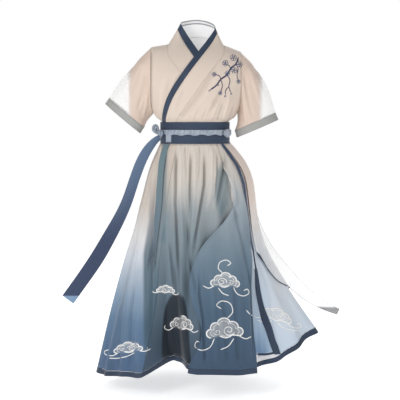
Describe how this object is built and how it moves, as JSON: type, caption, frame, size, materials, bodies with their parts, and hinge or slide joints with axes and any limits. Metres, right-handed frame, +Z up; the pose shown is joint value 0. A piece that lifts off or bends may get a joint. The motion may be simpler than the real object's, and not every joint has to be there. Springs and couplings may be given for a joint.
{
  "type": "hanfu",
  "caption": "Women's cross-collared top with sheer short sleeves, tucked into a long layered wrap skirt with a high waistband, sash and flying ribbons.",
  "frame": {"origin": "middle of the neck base, where the wearer's shoulders and neck hold the garment", "axes": "+Z up along the body, the front faces -Y, +X is the wearer's left"},
  "size_m": [1.109, 0.5964, 1.4006],
  "materials": {
    "cream_cloth": "soft matt plain weave",
    "organza": "sheer crisp organza, cream towards the body",
    "cuff_cloth": "pale grey translucent binding",
    "navy_binding": "navy satin-faced binding",
    "sash_silk": "pale blue-grey silk, ruched",
    "middle_ombre": "soft cloth dyed from cream to grey-blue",
    "side_ombre": "soft cloth dyed from white-cream to light blue",
    "sheer_blue": "thin light blue cloth",
    "back_ombre": "soft cloth dyed from cream to blue",
    "wrap_ombre": "soft cloth dyed from cream to deep blue",
    "overlay_cloth": "fine cream cloth with a navy piping",
    "teal_silk": "grey-teal silk ribbon"
  },
  "bodies": {
    "root": {"front_under": "cream_cloth", "front_over": "cream_cloth", "back": "cream_cloth", "collar_band": "cream_cloth", "sleeve_right": "organza", "sleeve_left": "organza", "tail_sheer": "organza", "cuff_right": "cuff_cloth", "cuff_left": "cuff_cloth", "collar_edge": "navy_binding", "waistband": "navy_binding", "hem_side_right": "navy_binding", "hem_middle": "navy_binding", "hem_side_left": "navy_binding", "hem_back_left": "navy_binding", "hem_back_right": "navy_binding", "hem_wrap": "navy_binding", "tail_navy": "navy_binding", "ribbon_navy": "navy_binding", "sash": "sash_silk", "knot_right": "sash_silk", "knot_left": "sash_silk", "bow_loop": "sash_silk", "ribbon_pale": "sash_silk", "skirt_middle": "middle_ombre", "skirt_side_right": "side_ombre", "skirt_side_left": "sheer_blue", "skirt_back_left": "back_ombre", "skirt_back_right": "back_ombre", "skirt_wrap": "wrap_ombre", "overlay": "overlay_cloth", "ribbon_teal": "teal_silk"}
  },
  "joints": []
}
